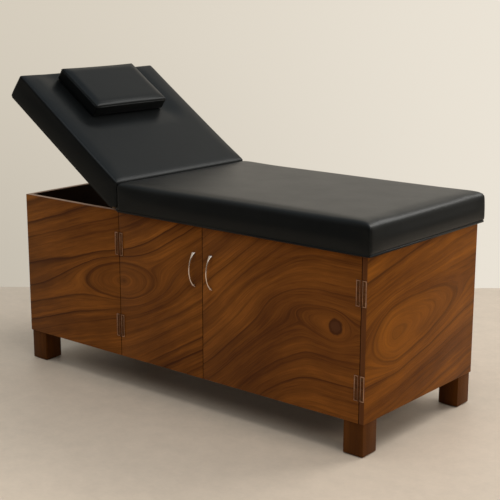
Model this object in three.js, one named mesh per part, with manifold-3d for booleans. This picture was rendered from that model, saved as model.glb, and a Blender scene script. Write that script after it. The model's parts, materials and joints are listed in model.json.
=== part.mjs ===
// Medical exam table: a walnut-veneered storage cabinet on four block legs, with a padded seat,
// a padded backrest that tilts on two hinges, a loose pillow and two doors under the seat.
// Millimetres, +Z up, +X from the head end to the foot end, doors facing -Y.
import * as THREE from "three";
import { mergeVertices } from "three/addons/utils/BufferGeometryUtils.js";
import Module from "manifold-3d";

// ---- Driving dimensions -------------------------------------------------------------------
// Positions are measured from the cabinet's lower corner at the head end, front side, on the
// floor. ORIGIN is the place of the part's own origin in that system: under the middle of the
// table's length, on the middle plane of the cabinet.
const ORIGIN = [821, 353, 0];
const GAP = 0.3; // left between pieces that rest on each other in a tilted group

const CABINET = { length: 1672, depth: 706, bottom: 120, top: 694, panel: 20 };
const LEG = { side: 80, inset: 4 };
const GLIDE = { radius: 22, thickness: 3 };
const FIXED_PANEL_END = 535.5; // where the fixed front panel stops and the left door starts
const DOOR = { thickness: 18.5, gap: 2, meeting: 961.5, headroom: 3 };
const DIVIDER = { x: 516, thickness: 18 }; // between the head-end well and the door compartments
const PARTITION_X = [952, 972];
const RAIL = { depth: 70, thickness: 20 };
const SHELF = { z: 400, thickness: 18, setback: 20 };

const OVERHANG = 16; // of the cushions over the cabinet's front, rear and foot end
const SEAT = { head: 547, boardHead: 528, board: 15, top: 800, inset: 10 };

const TILT = 34.5; // degrees, the backrest's angle at rest
const TILT_MAX = 54.5;
const PIVOT = { x: 512, z: 696 }; // the backrest's hinge axis
// Along and above the hinge axis, with the backrest lying flat.
const BACK = { head: -680, foot: -4, underside: 4.3, board: 15, top: 105 };
const BUMPER = { radius: 9, inset: 60 };
const PILLOW = { foot: -404, length: 243, width: 396, thickness: 51.6, edge: 12 };

const BUTT = { length: 90, leaf: 21, thickness: 2, barrel: 3.5, bore: 2.1, pin: 2, knuckles: 5 };
const DOOR_HINGE_Z = { lower: 243, upper: 566 };
const BACK_HINGE_Y = { front: 120, rear: 586 };
const BACK_BUTT = { ...BUTT, leaf: 44, barrel: 4 };

const HANDLE = { centre: 528, inset: 40, spacing: 116, foot: 14, reach: 32, bar: 5.5, width: 12, waist: 7 };
const HANDLE_SCREW = { head: 4, headDepth: 2.5, shank: 2, bore: 2.4, grip: 8 };
const CATCH = { width: 40, height: 15, y: [21.5, 42], fromPartition: 7 };
const STRIKE = { width: 30, height: 12, thickness: 1.5 };

const QUADRANT = { inner: 138, outer: 162, thickness: 6, sweep: 75, footLength: 64, footWidth: 60, foot: 3 };
const CLAMP = { angle: 22, cheek: 5, slack: 0.5, height: 44, past: 20, base: 5, baseWidth: 66, baseHeight: 90 };
const LEVER = { stud: 4, bore: 4.4, hub: 11, hubY: [326, 343.5], arm: 78, armWidth: 14, tip: 18 };

// ---- Materials ----------------------------------------------------------------------------
const finish = (color, roughness, metalness = 0) => ({ color, roughness, metalness });
const WALNUT_FRONT = finish(0x5c3418, 0.45);
const WALNUT_END = finish(0x874f23, 0.45);
const WALNUT_INNER = finish(0x4a2a14, 0.6);
const LEG_WOOD = finish(0x3a1c10, 0.5);
const PLYWOOD = finish(0xb08a5a, 0.7);
const VINYL = finish(0x1b1c1c, 0.42);
const NICKEL = finish(0xb9b4aa, 0.3, 1);
const ANTIQUE = finish(0x5b4632, 0.45, 0.9);
const ZINC = finish(0xa8acb0, 0.4, 1);
const STEEL = finish(0x2c2d2f, 0.5, 0.6);
const RUBBER = finish(0x1a1a1a, 0.8);
const NYLON = finish(0x2a2725, 0.6);

// ---- Solid tools --------------------------------------------------------------------------
const wasm = await Module();
wasm.setup();

function toSolid(geometry) {
  const plain = geometry.clone();
  plain.deleteAttribute("normal");
  plain.deleteAttribute("uv");
  const merged = mergeVertices(plain, 1e-4);
  const vertProperties = new Float32Array(merged.attributes.position.array);
  const triVerts = new Uint32Array(merged.index.array);
  return new wasm.Manifold(new wasm.Mesh({ numProp: 3, vertProperties, triVerts }));
}

function toGeometry(solid) {
  const { vertProperties, triVerts } = solid.getMesh();
  const geometry = new THREE.BufferGeometry();
  geometry.setAttribute("position", new THREE.BufferAttribute(new Float32Array(vertProperties), 3));
  geometry.setIndex(new THREE.BufferAttribute(new Uint32Array(triVerts), 1));
  const flat = geometry.toNonIndexed();
  flat.computeVertexNormals();
  return flat;
}

const cut = (body, tools) =>
  toGeometry(tools.reduce((solid, tool) => solid.subtract(toSolid(tool)), toSolid(body)));
const join = (pieces) =>
  toGeometry(pieces.slice(1).reduce((solid, piece) => solid.add(toSolid(piece)), toSolid(pieces[0])));
const common = (a, b) => toGeometry(toSolid(a).intersect(toSolid(b)));

// A block between two corners.
function block([x0, x1], [y0, y1], [z0, z1]) {
  const box = new THREE.BoxGeometry(x1 - x0, y1 - y0, z1 - z0);
  return box.translate((x0 + x1) / 2, (y0 + y1) / 2, (z0 + z1) / 2);
}

// A side outline in X and Z, given as a shape or as corners, carried from y0 to y1.
function sideways(outline, y0, y1) {
  const corners = (points) => new THREE.Shape(points.map(([x, z]) => new THREE.Vector2(x, z)));
  const shape = Array.isArray(outline) ? corners(outline) : outline;
  const solid = new THREE.ExtrudeGeometry(shape, { depth: y1 - y0, bevelEnabled: false, curveSegments: 24 });
  return solid.rotateX(Math.PI / 2).translate(0, y1, 0);
}

// A round bar along Y.
function barAlongY(radius, x, z, [y0, y1], segments = 20) {
  return new THREE.CylinderGeometry(radius, radius, y1 - y0, segments).translate(x, (y0 + y1) / 2, z);
}

// ---- Scene graph --------------------------------------------------------------------------
const table = new THREE.Group();
table.position.set(-ORIGIN[0], -ORIGIN[1], -ORIGIN[2]);

const cabinet = new THREE.Group();
const leftDoor = new THREE.Group();
const rightDoor = new THREE.Group();
const clampLever = new THREE.Group();
const backrest = new THREE.Group(); // drawn flat about the hinge axis, then tilted
backrest.position.set(PIVOT.x, 0, PIVOT.z);
backrest.rotation.y = THREE.MathUtils.degToRad(TILT);
table.add(cabinet, leftDoor, rightDoor, clampLever, backrest);

function piece(group, name, geometry, look) {
  const mesh = new THREE.Mesh(geometry, new THREE.MeshStandardMaterial(look));
  mesh.name = name;
  group.add(mesh);
  return mesh;
}

// ---- Cabinet ------------------------------------------------------------------------------
const { length: L, depth: W, bottom: ZB, top: ZT, panel: T } = CABINET;
const DIVIDER_X = [DIVIDER.x, DIVIDER.x + DIVIDER.thickness];
const FLOOR_TOP = ZB + T;
const RAIL_Z = [ZT - RAIL.thickness, ZT];
const INSIDE_Y = [T, W - T];

function buildPanels() {
  const full = [ZB, ZT];
  piece(cabinet, "front_fixed_panel", block([0, FIXED_PANEL_END], [0, T], full), WALNUT_FRONT);
  piece(cabinet, "head_end_panel", block([0, T], [T, W], full), WALNUT_END);
  piece(cabinet, "foot_end_panel", block([L - T, L], [0, W], full), WALNUT_END);
  piece(cabinet, "rear_panel", block([T, L - T], [W - T, W], full), WALNUT_FRONT);
  piece(cabinet, "bottom_panel", block([T, L - T], INSIDE_Y, [ZB, FLOOR_TOP]), WALNUT_INNER);
  piece(cabinet, "well_divider", block(DIVIDER_X, INSIDE_Y, [FLOOR_TOP, ZT]), WALNUT_INNER);
  piece(cabinet, "centre_partition", block(PARTITION_X, INSIDE_Y, [FLOOR_TOP, RAIL_Z[0]]), WALNUT_INNER);
  const railX = [DIVIDER_X[1], L - T];
  piece(cabinet, "front_top_rail", block(railX, [T, T + RAIL.depth], RAIL_Z), WALNUT_INNER);
  piece(cabinet, "rear_top_rail", block(railX, [W - T - RAIL.depth, W - T], RAIL_Z), WALNUT_INNER);
  const shelfY = [T + SHELF.setback, W - T];
  const shelfZ = [SHELF.z, SHELF.z + SHELF.thickness];
  piece(cabinet, "left_shelf", block([DIVIDER_X[1], PARTITION_X[0]], shelfY, shelfZ), WALNUT_INNER);
  piece(cabinet, "right_shelf", block([PARTITION_X[1], L - T], shelfY, shelfZ), WALNUT_INNER);
}

function buildLegs() {
  const near = LEG.inset;
  const places = {
    front_head: [near, near],
    front_foot: [L - near - LEG.side, near],
    rear_head: [near, W - near - LEG.side],
    rear_foot: [L - near - LEG.side, W - near - LEG.side],
  };
  for (const [where, [x, y]] of Object.entries(places)) {
    const leg = block([x, x + LEG.side], [y, y + LEG.side], [GLIDE.thickness, ZB]);
    piece(cabinet, `${where}_leg`, leg, LEG_WOOD);
    const glide = new THREE.CylinderGeometry(GLIDE.radius, GLIDE.radius, GLIDE.thickness, 24);
    glide.rotateX(Math.PI / 2).translate(x + LEG.side / 2, y + LEG.side / 2, GLIDE.thickness / 2);
    piece(cabinet, `${where}_glide`, glide, NYLON);
  }
}

// ---- Seat ---------------------------------------------------------------------------------
const CUSHION_Y = [-OVERHANG, W + OVERHANG];
const SEAT_BOARD_TOP = ZT + SEAT.board;

function buildSeat() {
  const footEnd = L + OVERHANG;
  const boardY = [CUSHION_Y[0] + SEAT.inset, CUSHION_Y[1] - SEAT.inset];
  const board = block([SEAT.boardHead, footEnd - SEAT.inset], boardY, [ZT, SEAT_BOARD_TOP]);
  piece(cabinet, "seat_base_board", board, PLYWOOD);
  const cushion = block([SEAT.head, footEnd], CUSHION_Y, [SEAT_BOARD_TOP + GAP, SEAT.top]);
  piece(cabinet, "seat_cushion", cushion, VINYL);
}

// ---- Butt hinges --------------------------------------------------------------------------
// A leaf is drawn with its pin axis on Z and its plate running out along +X, its back against
// the plane y = barrel radius. It keeps every second knuckle, starting with the first or second.
function hingeLeaf({ length, leaf, thickness, barrel, bore, knuckles }, first) {
  const pitch = length / knuckles;
  const plate = block([bore - 0.5, leaf], [barrel - thickness, barrel], [-length / 2, length / 2]);
  const ring = new THREE.Shape().absarc(0, 0, barrel, 0, 2 * Math.PI, false);
  ring.holes.push(new THREE.Path().absarc(0, 0, bore, 0, 2 * Math.PI, true));
  const pieces = [plate];
  const slots = [];
  for (let k = 0; k < knuckles; k++) {
    const low = -length / 2 + k * pitch;
    if (k % 2 === first) {
      const depth = pitch - GAP;
      const options = { depth, bevelEnabled: false, curveSegments: 10 };
      pieces.push(new THREE.ExtrudeGeometry(ring, options).translate(0, 0, low + GAP / 2));
    } else {
      const reach = [-1, barrel + 2 * GAP];
      slots.push(block(reach, [0, barrel + 1], [low - GAP / 2, low + pitch + GAP / 2]));
    }
  }
  const boreTool = new THREE.CylinderGeometry(bore, bore, length + 2, 20).rotateX(Math.PI / 2);
  return cut(join(pieces), [...slots, boreTool]);
}

function hingePin({ length, pin }) {
  return new THREE.CylinderGeometry(pin, pin, length, 16).rotateX(Math.PI / 2);
}

// Turns a geometry drawn in a hinge's own axes into place.
function placed(geometry, xAxis, yAxis, position) {
  const zAxis = new THREE.Vector3().crossVectors(xAxis, yAxis);
  return geometry.applyMatrix4(new THREE.Matrix4().makeBasis(xAxis, yAxis, zAxis).setPosition(...position));
}

const X = new THREE.Vector3(1, 0, 0);
const Y = new THREE.Vector3(0, 1, 0);
const Z = new THREE.Vector3(0, 0, 1);
const minus = (axis) => axis.clone().negate();

const LEFT_PIN_X = FIXED_PANEL_END + DOOR.gap / 2;
const RIGHT_PIN_X = L - T - DOOR.gap / 2;
const DOOR_PIN_Y = -BUTT.barrel;

function buildDoorHinges() {
  const sides = [
    { side: "left", x: LEFT_PIN_X, group: leftDoor, towardsDoor: X },
    { side: "right", x: RIGHT_PIN_X, group: rightDoor, towardsDoor: minus(X) },
  ];
  for (const { side, x, group, towardsDoor } of sides) {
    for (const [level, z] of Object.entries(DOOR_HINGE_Z)) {
      const at = [x, DOOR_PIN_Y, z];
      const name = `${side}_door_${level}_hinge`;
      piece(cabinet, `${name}_frame_leaf`, placed(hingeLeaf(BUTT, 0), minus(towardsDoor), Y, at), ANTIQUE);
      piece(cabinet, `${name}_pin`, hingePin(BUTT).translate(...at), ANTIQUE);
      piece(group, `${name}_door_leaf`, placed(hingeLeaf(BUTT, 1), towardsDoor, Y, at), ANTIQUE);
    }
  }
}

// ---- Doors --------------------------------------------------------------------------------
// The bow handle is the side view of an arch met by a front view that narrows at the middle.
function bowHandle(x) {
  const half = (HANDLE.spacing + HANDLE.foot) / 2;
  const innerHalf = half - HANDLE.foot;
  const innerReach = HANDLE.reach - HANDLE.bar;
  const arcRadius = (chord, rise) => (chord * chord + rise * rise) / (2 * rise);
  const outer = arcRadius(half, HANDLE.reach);
  const inner = arcRadius(innerHalf, innerReach);
  const outerAngle = Math.asin(half / outer);
  const innerAngle = Math.asin(innerHalf / inner);
  const side = new THREE.Shape();
  side.absarc(0, HANDLE.reach - outer, outer, Math.PI / 2 - outerAngle, Math.PI / 2 + outerAngle, false);
  side.absarc(0, innerReach - inner, inner, Math.PI / 2 + innerAngle, Math.PI / 2 - innerAngle, true);
  const arch = new THREE.ExtrudeGeometry(side, { depth: HANDLE.width, bevelEnabled: false, curveSegments: 14 });
  arch.translate(0, 0, -HANDLE.width / 2);

  const front = new THREE.Shape();
  const wide = HANDLE.width / 2 + 0.01;
  const end = half + 1;
  front.moveTo(-end, -wide);
  front.quadraticCurveTo(0, -HANDLE.waist + wide, end, -wide);
  front.lineTo(end, wide);
  front.quadraticCurveTo(0, HANDLE.waist - wide, -end, wide);
  const waist = new THREE.ExtrudeGeometry(front, { depth: HANDLE.reach + 2, bevelEnabled: false, curveSegments: 14 });
  waist.rotateX(-Math.PI / 2).translate(0, -1, 0);

  // Drawn with the length along X and the reach along Y: the length goes to Z, the reach to -Y.
  return placed(common(arch, waist), Z, minus(Y), [x, 0, HANDLE.centre]);
}

function buildDoor(group, side, [x0, x1], handleX) {
  const z = [ZB, ZT - DOOR.headroom];
  const screwZ = { lower: HANDLE.centre - HANDLE.spacing / 2, upper: HANDLE.centre + HANDLE.spacing / 2 };
  const { head, headDepth, shank, bore, grip } = HANDLE_SCREW;
  const bores = Object.values(screwZ).map((sz) => barAlongY(bore, handleX, sz, [-grip - 1, DOOR.thickness + 1], 12));
  piece(group, `${side}_door_panel`, cut(block([x0, x1], [0, DOOR.thickness], z), bores), WALNUT_FRONT);
  piece(group, `${side}_door_handle`, cut(bowHandle(handleX), bores), NICKEL);
  for (const [level, sz] of Object.entries(screwZ)) {
    const screw = join([
      barAlongY(shank, handleX, sz, [-grip, DOOR.thickness + 1], 12),
      barAlongY(head, handleX, sz, [DOOR.thickness, DOOR.thickness + headDepth], 16),
    ]);
    piece(group, `${side}_handle_${level}_screw`, screw, ZINC);
  }
}

// Magnetic catches under the front rail, on both sides of the partition, with strikes on the doors.
function buildCatches() {
  const sides = [
    { side: "left", group: leftDoor, edge: PARTITION_X[0], outward: -1 },
    { side: "right", group: rightDoor, edge: PARTITION_X[1], outward: 1 },
  ];
  for (const { side, group, edge, outward } of sides) {
    const middle = edge + outward * (CATCH.fromPartition + CATCH.width / 2);
    const across = (width) => [middle - width / 2, middle + width / 2];
    const z = [RAIL_Z[0] - CATCH.height, RAIL_Z[0]];
    piece(cabinet, `${side}_door_catch`, block(across(CATCH.width), CATCH.y, z), NYLON);
    const strikeZ = [z[0] + 1, z[0] + 1 + STRIKE.height];
    const strikeY = [DOOR.thickness, DOOR.thickness + STRIKE.thickness];
    piece(group, `${side}_door_strike`, block(across(STRIKE.width), strikeY, strikeZ), ZINC);
  }
}

function buildDoors() {
  const half = DOOR.gap / 2;
  const leftX = [FIXED_PANEL_END + DOOR.gap, DOOR.meeting - half];
  const rightX = [DOOR.meeting + half, L - T - DOOR.gap];
  buildDoor(leftDoor, "left", leftX, leftX[1] - HANDLE.inset);
  buildDoor(rightDoor, "right", rightX, rightX[0] + HANDLE.inset);
}

// ---- Backrest -----------------------------------------------------------------------------
// Where a point of the flat backrest comes to lie in the tilted one, in the cabinet's X and Z.
function tilted(x, z) {
  const a = THREE.MathUtils.degToRad(TILT);
  return [PIVOT.x + x * Math.cos(a) + z * Math.sin(a), PIVOT.z - x * Math.sin(a) + z * Math.cos(a)];
}

// How far the pad's foot end can reach at a height above the axis and still clear the seat when
// the backrest is at its steepest.
function padReach(height) {
  const a = THREE.MathUtils.degToRad(TILT_MAX);
  const free = SEAT.head - PIVOT.x - 1;
  return Math.min(BACK.foot, (free - height * Math.sin(a)) / Math.cos(a));
}

const PAD_BOTTOM = BACK.underside + BACK.board + GAP;

function buildBackrest() {
  const inset = SEAT.inset;
  const boardY = [CUSHION_Y[0] + inset, CUSHION_Y[1] - inset];
  const boardZ = [BACK.underside, BACK.underside + BACK.board];
  piece(backrest, "backrest_base_board", block([BACK.head + inset, BACK.foot], boardY, boardZ), PLYWOOD);

  const lowFoot = padReach(PAD_BOTTOM);
  const highFoot = padReach(BACK.top);
  const pad = [[BACK.head, PAD_BOTTOM], [lowFoot, PAD_BOTTOM], [highFoot, BACK.top], [BACK.head, BACK.top]];
  piece(backrest, "backrest_cushion", sideways(pad, ...CUSHION_Y), VINYL);

  // The pad's foam between its rigid part and the seat, which folds as the backrest moves.
  const face = SEAT.head - GAP;
  const slope = Math.tan(THREE.MathUtils.degToRad(TILT));
  const topEdge = tilted(highFoot + 2 * GAP, BACK.top);
  const topAtSeat = topEdge[1] - (face - topEdge[0]) * slope;
  const fold = [tilted(lowFoot + 2 * GAP, PAD_BOTTOM), [face, SEAT_BOARD_TOP + GAP], [face, topAtSeat], topEdge];
  piece(table, "backrest_cushion_fold", sideways(fold, ...CUSHION_Y), VINYL);

  // Bumpers under the board, which come down on the head end panel when the backrest lies flat.
  for (const [where, y] of Object.entries({ front: BUMPER.inset, rear: W - BUMPER.inset })) {
    const [low, high] = [ZT - PIVOT.z + GAP, BACK.underside - GAP];
    const bumper = new THREE.CylinderGeometry(BUMPER.radius, BUMPER.radius, high - low, 20);
    bumper.rotateX(Math.PI / 2).translate(T / 2 - PIVOT.x, y, (low + high) / 2);
    piece(backrest, `${where}_bumper`, bumper, RUBBER);
  }
}

// The frame leaf hangs down the divider and the back leaf runs out under the board.
function buildBackrestHinges() {
  for (const [where, y] of Object.entries(BACK_HINGE_Y)) {
    const name = `${where}_backrest_hinge`;
    const at = [PIVOT.x, y, PIVOT.z];
    piece(cabinet, `${name}_frame_leaf`, placed(hingeLeaf(BACK_BUTT, 0), minus(Z), X, at), ZINC);
    const pin = hingePin(BACK_BUTT).rotateX(Math.PI / 2).translate(...at);
    piece(cabinet, `${name}_pin`, pin, ZINC);
    const leaf = placed(hingeLeaf(BACK_BUTT, 1), minus(X), Z, [0, y, 0]);
    piece(backrest, `${name}_back_leaf`, leaf, ZINC);
  }
}

function buildPillow() {
  const { foot, length, width, thickness, edge } = PILLOW;
  const bottom = BACK.top + GAP;
  const [x0, x1] = [foot - length, foot];
  const [z0, z1] = [bottom, bottom + thickness];
  const outline = [
    [x0 + edge, z0], [x1 - edge, z0], [x1, z0 + edge], [x1, z1 - edge],
    [x1 - edge, z1], [x0 + edge, z1], [x0, z1 - edge], [x0, z0 + edge],
  ];
  piece(backrest, "pillow", sideways(outline, (W - width) / 2, (W + width) / 2), VINYL);
}

// ---- Backrest stay ------------------------------------------------------------------------
// A steel quadrant centred on the hinge axis hangs from the backrest's board and slides between
// the cheeks of a bracket on the divider, where a lever's stud clamps it at any angle.
const MIDDLE_Y = W / 2;
const QUADRANT_Y = [MIDDLE_Y - QUADRANT.thickness / 2, MIDDLE_Y + QUADRANT.thickness / 2];
const CLAMP_RADIUS = (QUADRANT.inner + QUADRANT.outer) / 2;
const CLAMP_ANGLE = THREE.MathUtils.degToRad(CLAMP.angle);
const CLAMP_X = PIVOT.x - CLAMP_RADIUS * Math.cos(CLAMP_ANGLE);
const CLAMP_Z = PIVOT.z - CLAMP_RADIUS * Math.sin(CLAMP_ANGLE);

function buildQuadrant() {
  const end = Math.PI + THREE.MathUtils.degToRad(QUADRANT.sweep);
  const arc = new THREE.Shape();
  arc.absarc(0, 0, QUADRANT.outer, Math.PI, end, false);
  arc.absarc(0, 0, QUADRANT.inner, end, Math.PI, true);
  const footZ = [BACK.underside - GAP - QUADRANT.foot, BACK.underside - GAP];
  const footX = [-CLAMP_RADIUS - QUADRANT.footLength / 2, -CLAMP_RADIUS + QUADRANT.footLength / 2];
  const footY = [MIDDLE_Y - QUADRANT.footWidth / 2, MIDDLE_Y + QUADRANT.footWidth / 2];
  const neck = block([-QUADRANT.outer, -QUADRANT.inner], QUADRANT_Y, [-1, footZ[1] - 1]);
  const plate = join([sideways(arc, ...QUADRANT_Y), neck, block(footX, footY, footZ)]);
  piece(backrest, "stay_quadrant", plate, STEEL);
}

function buildClamp() {
  const { cheek, slack, height, past, base, baseWidth, baseHeight } = CLAMP;
  const front = [QUADRANT_Y[0] - slack - cheek, QUADRANT_Y[0] - slack];
  const rear = [QUADRANT_Y[1] + slack, QUADRANT_Y[1] + slack + cheek];
  const x = [CLAMP_X - past, DIVIDER.x - base / 2];
  const z = [CLAMP_Z - height / 2, CLAMP_Z + height / 2];
  const baseY = [MIDDLE_Y - baseWidth / 2, MIDDLE_Y + baseWidth / 2];
  const baseZ = [CLAMP_Z + height / 2 - baseHeight, CLAMP_Z + height / 2];
  const body = join([block([DIVIDER.x - base, DIVIDER.x], baseY, baseZ), block(x, front, z), block(x, rear, z)]);
  const studBore = barAlongY(LEVER.bore, CLAMP_X, CLAMP_Z, [front[0] - 1, front[1] + slack / 2], 20);
  piece(cabinet, "stay_clamp_bracket", cut(body, [studBore]), STEEL);

  const arm = new THREE.Shape();
  arm.absarc(CLAMP_X, CLAMP_Z, LEVER.armWidth / 2, 0, Math.PI, false);
  arm.absarc(CLAMP_X, CLAMP_Z - LEVER.arm, LEVER.tip / 2, Math.PI, 2 * Math.PI, false);
  const lever = join([
    barAlongY(LEVER.stud, CLAMP_X, CLAMP_Z, [LEVER.hubY[0] + 2, QUADRANT_Y[0] - GAP], 16),
    barAlongY(LEVER.hub, CLAMP_X, CLAMP_Z, LEVER.hubY, 24),
    sideways(arm, LEVER.hubY[0] + 3, LEVER.hubY[0] + 12),
  ]);
  piece(clampLever, "stay_clamp_lever", lever, STEEL);
}

buildPanels();
buildLegs();
buildSeat();
buildDoorHinges();
buildDoors();
buildCatches();
buildBackrest();
buildBackrestHinges();
buildPillow();
buildQuadrant();
buildClamp();

export default table;
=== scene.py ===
"""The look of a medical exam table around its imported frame: a walnut cabinet with two doors, a
padded seat, a tilting padded backrest and a loose pillow. Metres, +Z up, +X from the head end to
the foot end, doors facing -Y."""
import json
import math

import bmesh
import bpy
import numpy as np
from mathutils import Matrix, Vector
from mathutils.bvhtree import BVHTree


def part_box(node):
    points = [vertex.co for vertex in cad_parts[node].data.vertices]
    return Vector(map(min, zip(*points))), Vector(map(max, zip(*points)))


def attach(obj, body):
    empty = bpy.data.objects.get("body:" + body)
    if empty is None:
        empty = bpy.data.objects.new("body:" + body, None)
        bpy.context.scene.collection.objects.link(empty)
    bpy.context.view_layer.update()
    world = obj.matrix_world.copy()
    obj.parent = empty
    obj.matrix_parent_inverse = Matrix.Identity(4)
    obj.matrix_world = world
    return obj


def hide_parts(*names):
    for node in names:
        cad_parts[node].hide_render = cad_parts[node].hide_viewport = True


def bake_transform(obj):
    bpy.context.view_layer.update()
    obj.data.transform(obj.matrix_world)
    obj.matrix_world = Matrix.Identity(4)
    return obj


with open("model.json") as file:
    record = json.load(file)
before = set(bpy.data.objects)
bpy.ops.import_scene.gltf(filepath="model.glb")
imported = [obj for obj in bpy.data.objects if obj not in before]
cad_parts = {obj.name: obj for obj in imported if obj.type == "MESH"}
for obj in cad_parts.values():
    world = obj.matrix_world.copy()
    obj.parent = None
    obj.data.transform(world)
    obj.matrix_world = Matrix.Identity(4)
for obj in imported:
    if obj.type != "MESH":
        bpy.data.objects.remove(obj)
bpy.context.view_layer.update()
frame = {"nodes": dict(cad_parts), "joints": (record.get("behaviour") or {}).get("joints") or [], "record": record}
nodes = frame["nodes"]

MM = 0.001


# ---- Places taken from the frame ----------------------------------------------------------
def joint(name):
    return next(j for j in frame["joints"] if j["name"] == name)


SEAT_LOW, SEAT_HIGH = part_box("seat_cushion")
BOARD_LOW, BOARD_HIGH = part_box("seat_base_board")
PIVOT = Vector(joint("backrest_tilt")["pos_m"])
TILT = math.radians(34.5)  # of the backrest at rest
TILTED = Matrix.Translation(PIVOT) @ Matrix.Rotation(TILT, 4, "Y")  # from the flat backrest
FLAT = TILTED.inverted()
INSIDE_LOW = (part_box("head_end_panel")[1].x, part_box("left_door_panel")[1].y)
INSIDE_HIGH = (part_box("foot_end_panel")[0].x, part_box("rear_panel")[0].y)


def flat_box(node):
    """A node's lowest and highest corners in the frame of the flat backrest."""
    places = np.array([FLAT @ v.co for v in nodes[node].data.vertices])
    return Vector(places.min(0)), Vector(places.max(0))


# ---- Camera, lights and floor -------------------------------------------------------------
CAMERA = {"place": (2.8973, -3.4050, 1.5710), "azimuth": 39.71, "elevation": 13.21, "roll": 0.14}
CAMERA_LENS = 85.02
FLOOR_END = 5.85  # from the camera, where the floor stops and the background starts
FLOOR_REACH = 40.0

FLOOR_COLOUR = (0.63, 0.525, 0.42)
BACKGROUND_NEAR = (0.10, 0.095, 0.085)  # behind the camera
BACKGROUND_ABOVE = (0.48, 0.58, 0.66)
BACKGROUND_LOW = (0.22, 0.20, 0.165)  # under the horizon
BACKGROUND_LEFT = (0.66, 0.60, 0.50)
BACKGROUND_RIGHT = (0.84, 0.78, 0.68)


def make_camera():
    data = bpy.data.cameras.new("camera")
    data.lens = CAMERA_LENS
    camera = bpy.data.objects.new("camera", data)
    bpy.context.scene.collection.objects.link(camera)
    azimuth, elevation, roll = (math.radians(CAMERA[k]) for k in ("azimuth", "elevation", "roll"))
    turn = Matrix.Rotation(azimuth, 4, "Z") @ Matrix.Rotation(math.pi / 2 - elevation, 4, "X")
    turn = turn @ Matrix.Rotation(roll, 4, "Z")
    camera.matrix_world = Matrix.Translation(CAMERA["place"]) @ turn
    bpy.context.scene.camera = camera
    forward = Vector((-math.sin(azimuth), math.cos(azimuth), 0))
    right = Vector((math.cos(azimuth), math.sin(azimuth), 0))
    return forward, right


def area_light(name, place, aim, size, power, colour, spread=180):
    data = bpy.data.lights.new(name, "AREA")
    data.spread = math.radians(spread)
    data.shape = "RECTANGLE"
    data.size, data.size_y = size
    data.energy = power
    data.color = colour
    light = bpy.data.objects.new(name, data)
    bpy.context.scene.collection.objects.link(light)
    place, aim = Vector(place), Vector(aim)
    turn = (aim - place).to_track_quat("-Z", "Y").to_matrix().to_4x4()
    light.matrix_world = Matrix.Translation(place) @ turn


def make_lights():
    area_light("key", (1.9, 3.2, 3.9), (0.2, 0, 0.5), (2.4, 2.4), 100, (1, 0.97, 0.93))
    area_light("overhead", (0.9, -0.8, 4.4), (0.9, -0.8, 0), (2.4, 1.6), 47, (1, 0.95, 0.89))
    area_light("side", (4.6, 0.2, 2.6), (0.8, 0, 0.3), (1.6, 1.6), 46, (1, 0.93, 0.84))
    area_light("floor_wash", (0.9, -2.7, 3.2), (0.9, -2.7, 0), (2.6, 1.2), 12, (1, 0.95, 0.89), spread=62)
    area_light("front_fill", (0.4, -3.9, 4.8), (0.2, -1.2, 0), (4, 3), 35, (1, 0.95, 0.89))


# ---- Shader helper ------------------------------------------------------------------------
class Shader:
    """A material with short calls for the nodes that it is made of."""

    def __init__(self, name, **surface):
        self.material = bpy.data.materials.new(name)
        self.material.use_nodes = True
        self.tree = self.material.node_tree
        self.surface = self.tree.nodes["Principled BSDF"]
        self.set(**surface)
        self.coordinates = self.node("TexCoord")
        self.object = self.coordinates.outputs["Object"]
        self.x, self.y, self.z = self.node("SeparateXYZ", {"Vector": self.object}).outputs

    def set(self, **surface):
        for key, value in surface.items():
            self.put(self.surface.inputs[key.replace("_", " ")], value)

    def put(self, socket, value):
        if isinstance(value, bpy.types.NodeSocket):
            self.tree.links.new(value, socket)
        elif value is not None:
            socket.default_value = value

    def node(self, kind, inputs=None, **settings):
        made = self.tree.nodes.new("ShaderNode" + kind)
        for key, value in settings.items():
            setattr(made, key, value)
        for key, value in (inputs or {}).items():
            self.put(made.inputs[key], value)
        return made

    def math(self, operation, a, b=None, c=None):
        return self.node("Math", {0: a, 1: b, 2: c}, operation=operation).outputs[0]

    def point(self, x=0.0, y=0.0, z=0.0):
        return self.node("CombineXYZ", {0: x, 1: y, 2: z}).outputs[0]

    def scaled(self, vector, by):
        return self.node("VectorMath", {0: vector, 1: by}, operation="MULTIPLY").outputs[0]

    def noise(self, vector, scale, detail=2.0, roughness=0.5):
        inputs = {"Vector": vector, "Scale": scale, "Detail": detail, "Roughness": roughness}
        return self.node("TexNoise", inputs).outputs["Fac"]

    def cells(self, vector, scale, feature="F1"):
        made = self.node("TexVoronoi", {"Vector": vector, "Scale": scale}, feature=feature)
        return made.outputs["Distance"]

    def span(self, value, low, high, to_low=0.0, to_high=1.0, smooth=False):
        kind = "SMOOTHSTEP" if smooth else "LINEAR"
        inputs = {0: value, 1: low, 2: high, 3: to_low, 4: to_high}
        return self.node("MapRange", inputs, interpolation_type=kind).outputs[0]

    def ramp(self, value, stops):
        made = self.node("ValToRGB", {0: value})
        elements = made.color_ramp.elements
        while len(elements) < len(stops):
            elements.new(0.5)
        for element, (place, colour) in zip(elements, stops):
            element.position = place
            element.color = (*colour, 1)
        return made.outputs["Color"]

    def mix(self, share, a, b, blend="MIX"):
        made = self.node("Mix", data_type="RGBA", blend_type=blend)
        for key, value in zip((0, 6, 7), (share, a, b)):
            self.put(made.inputs[key], (*value, 1) if isinstance(value, tuple) and len(value) == 3 else value)
        return made.outputs[2]

    def bump(self, height, depth, normal=None, strength=1.0):
        inputs = {"Height": height, "Distance": depth, "Strength": strength, "Normal": normal}
        return self.node("Bump", inputs).outputs["Normal"]


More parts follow.
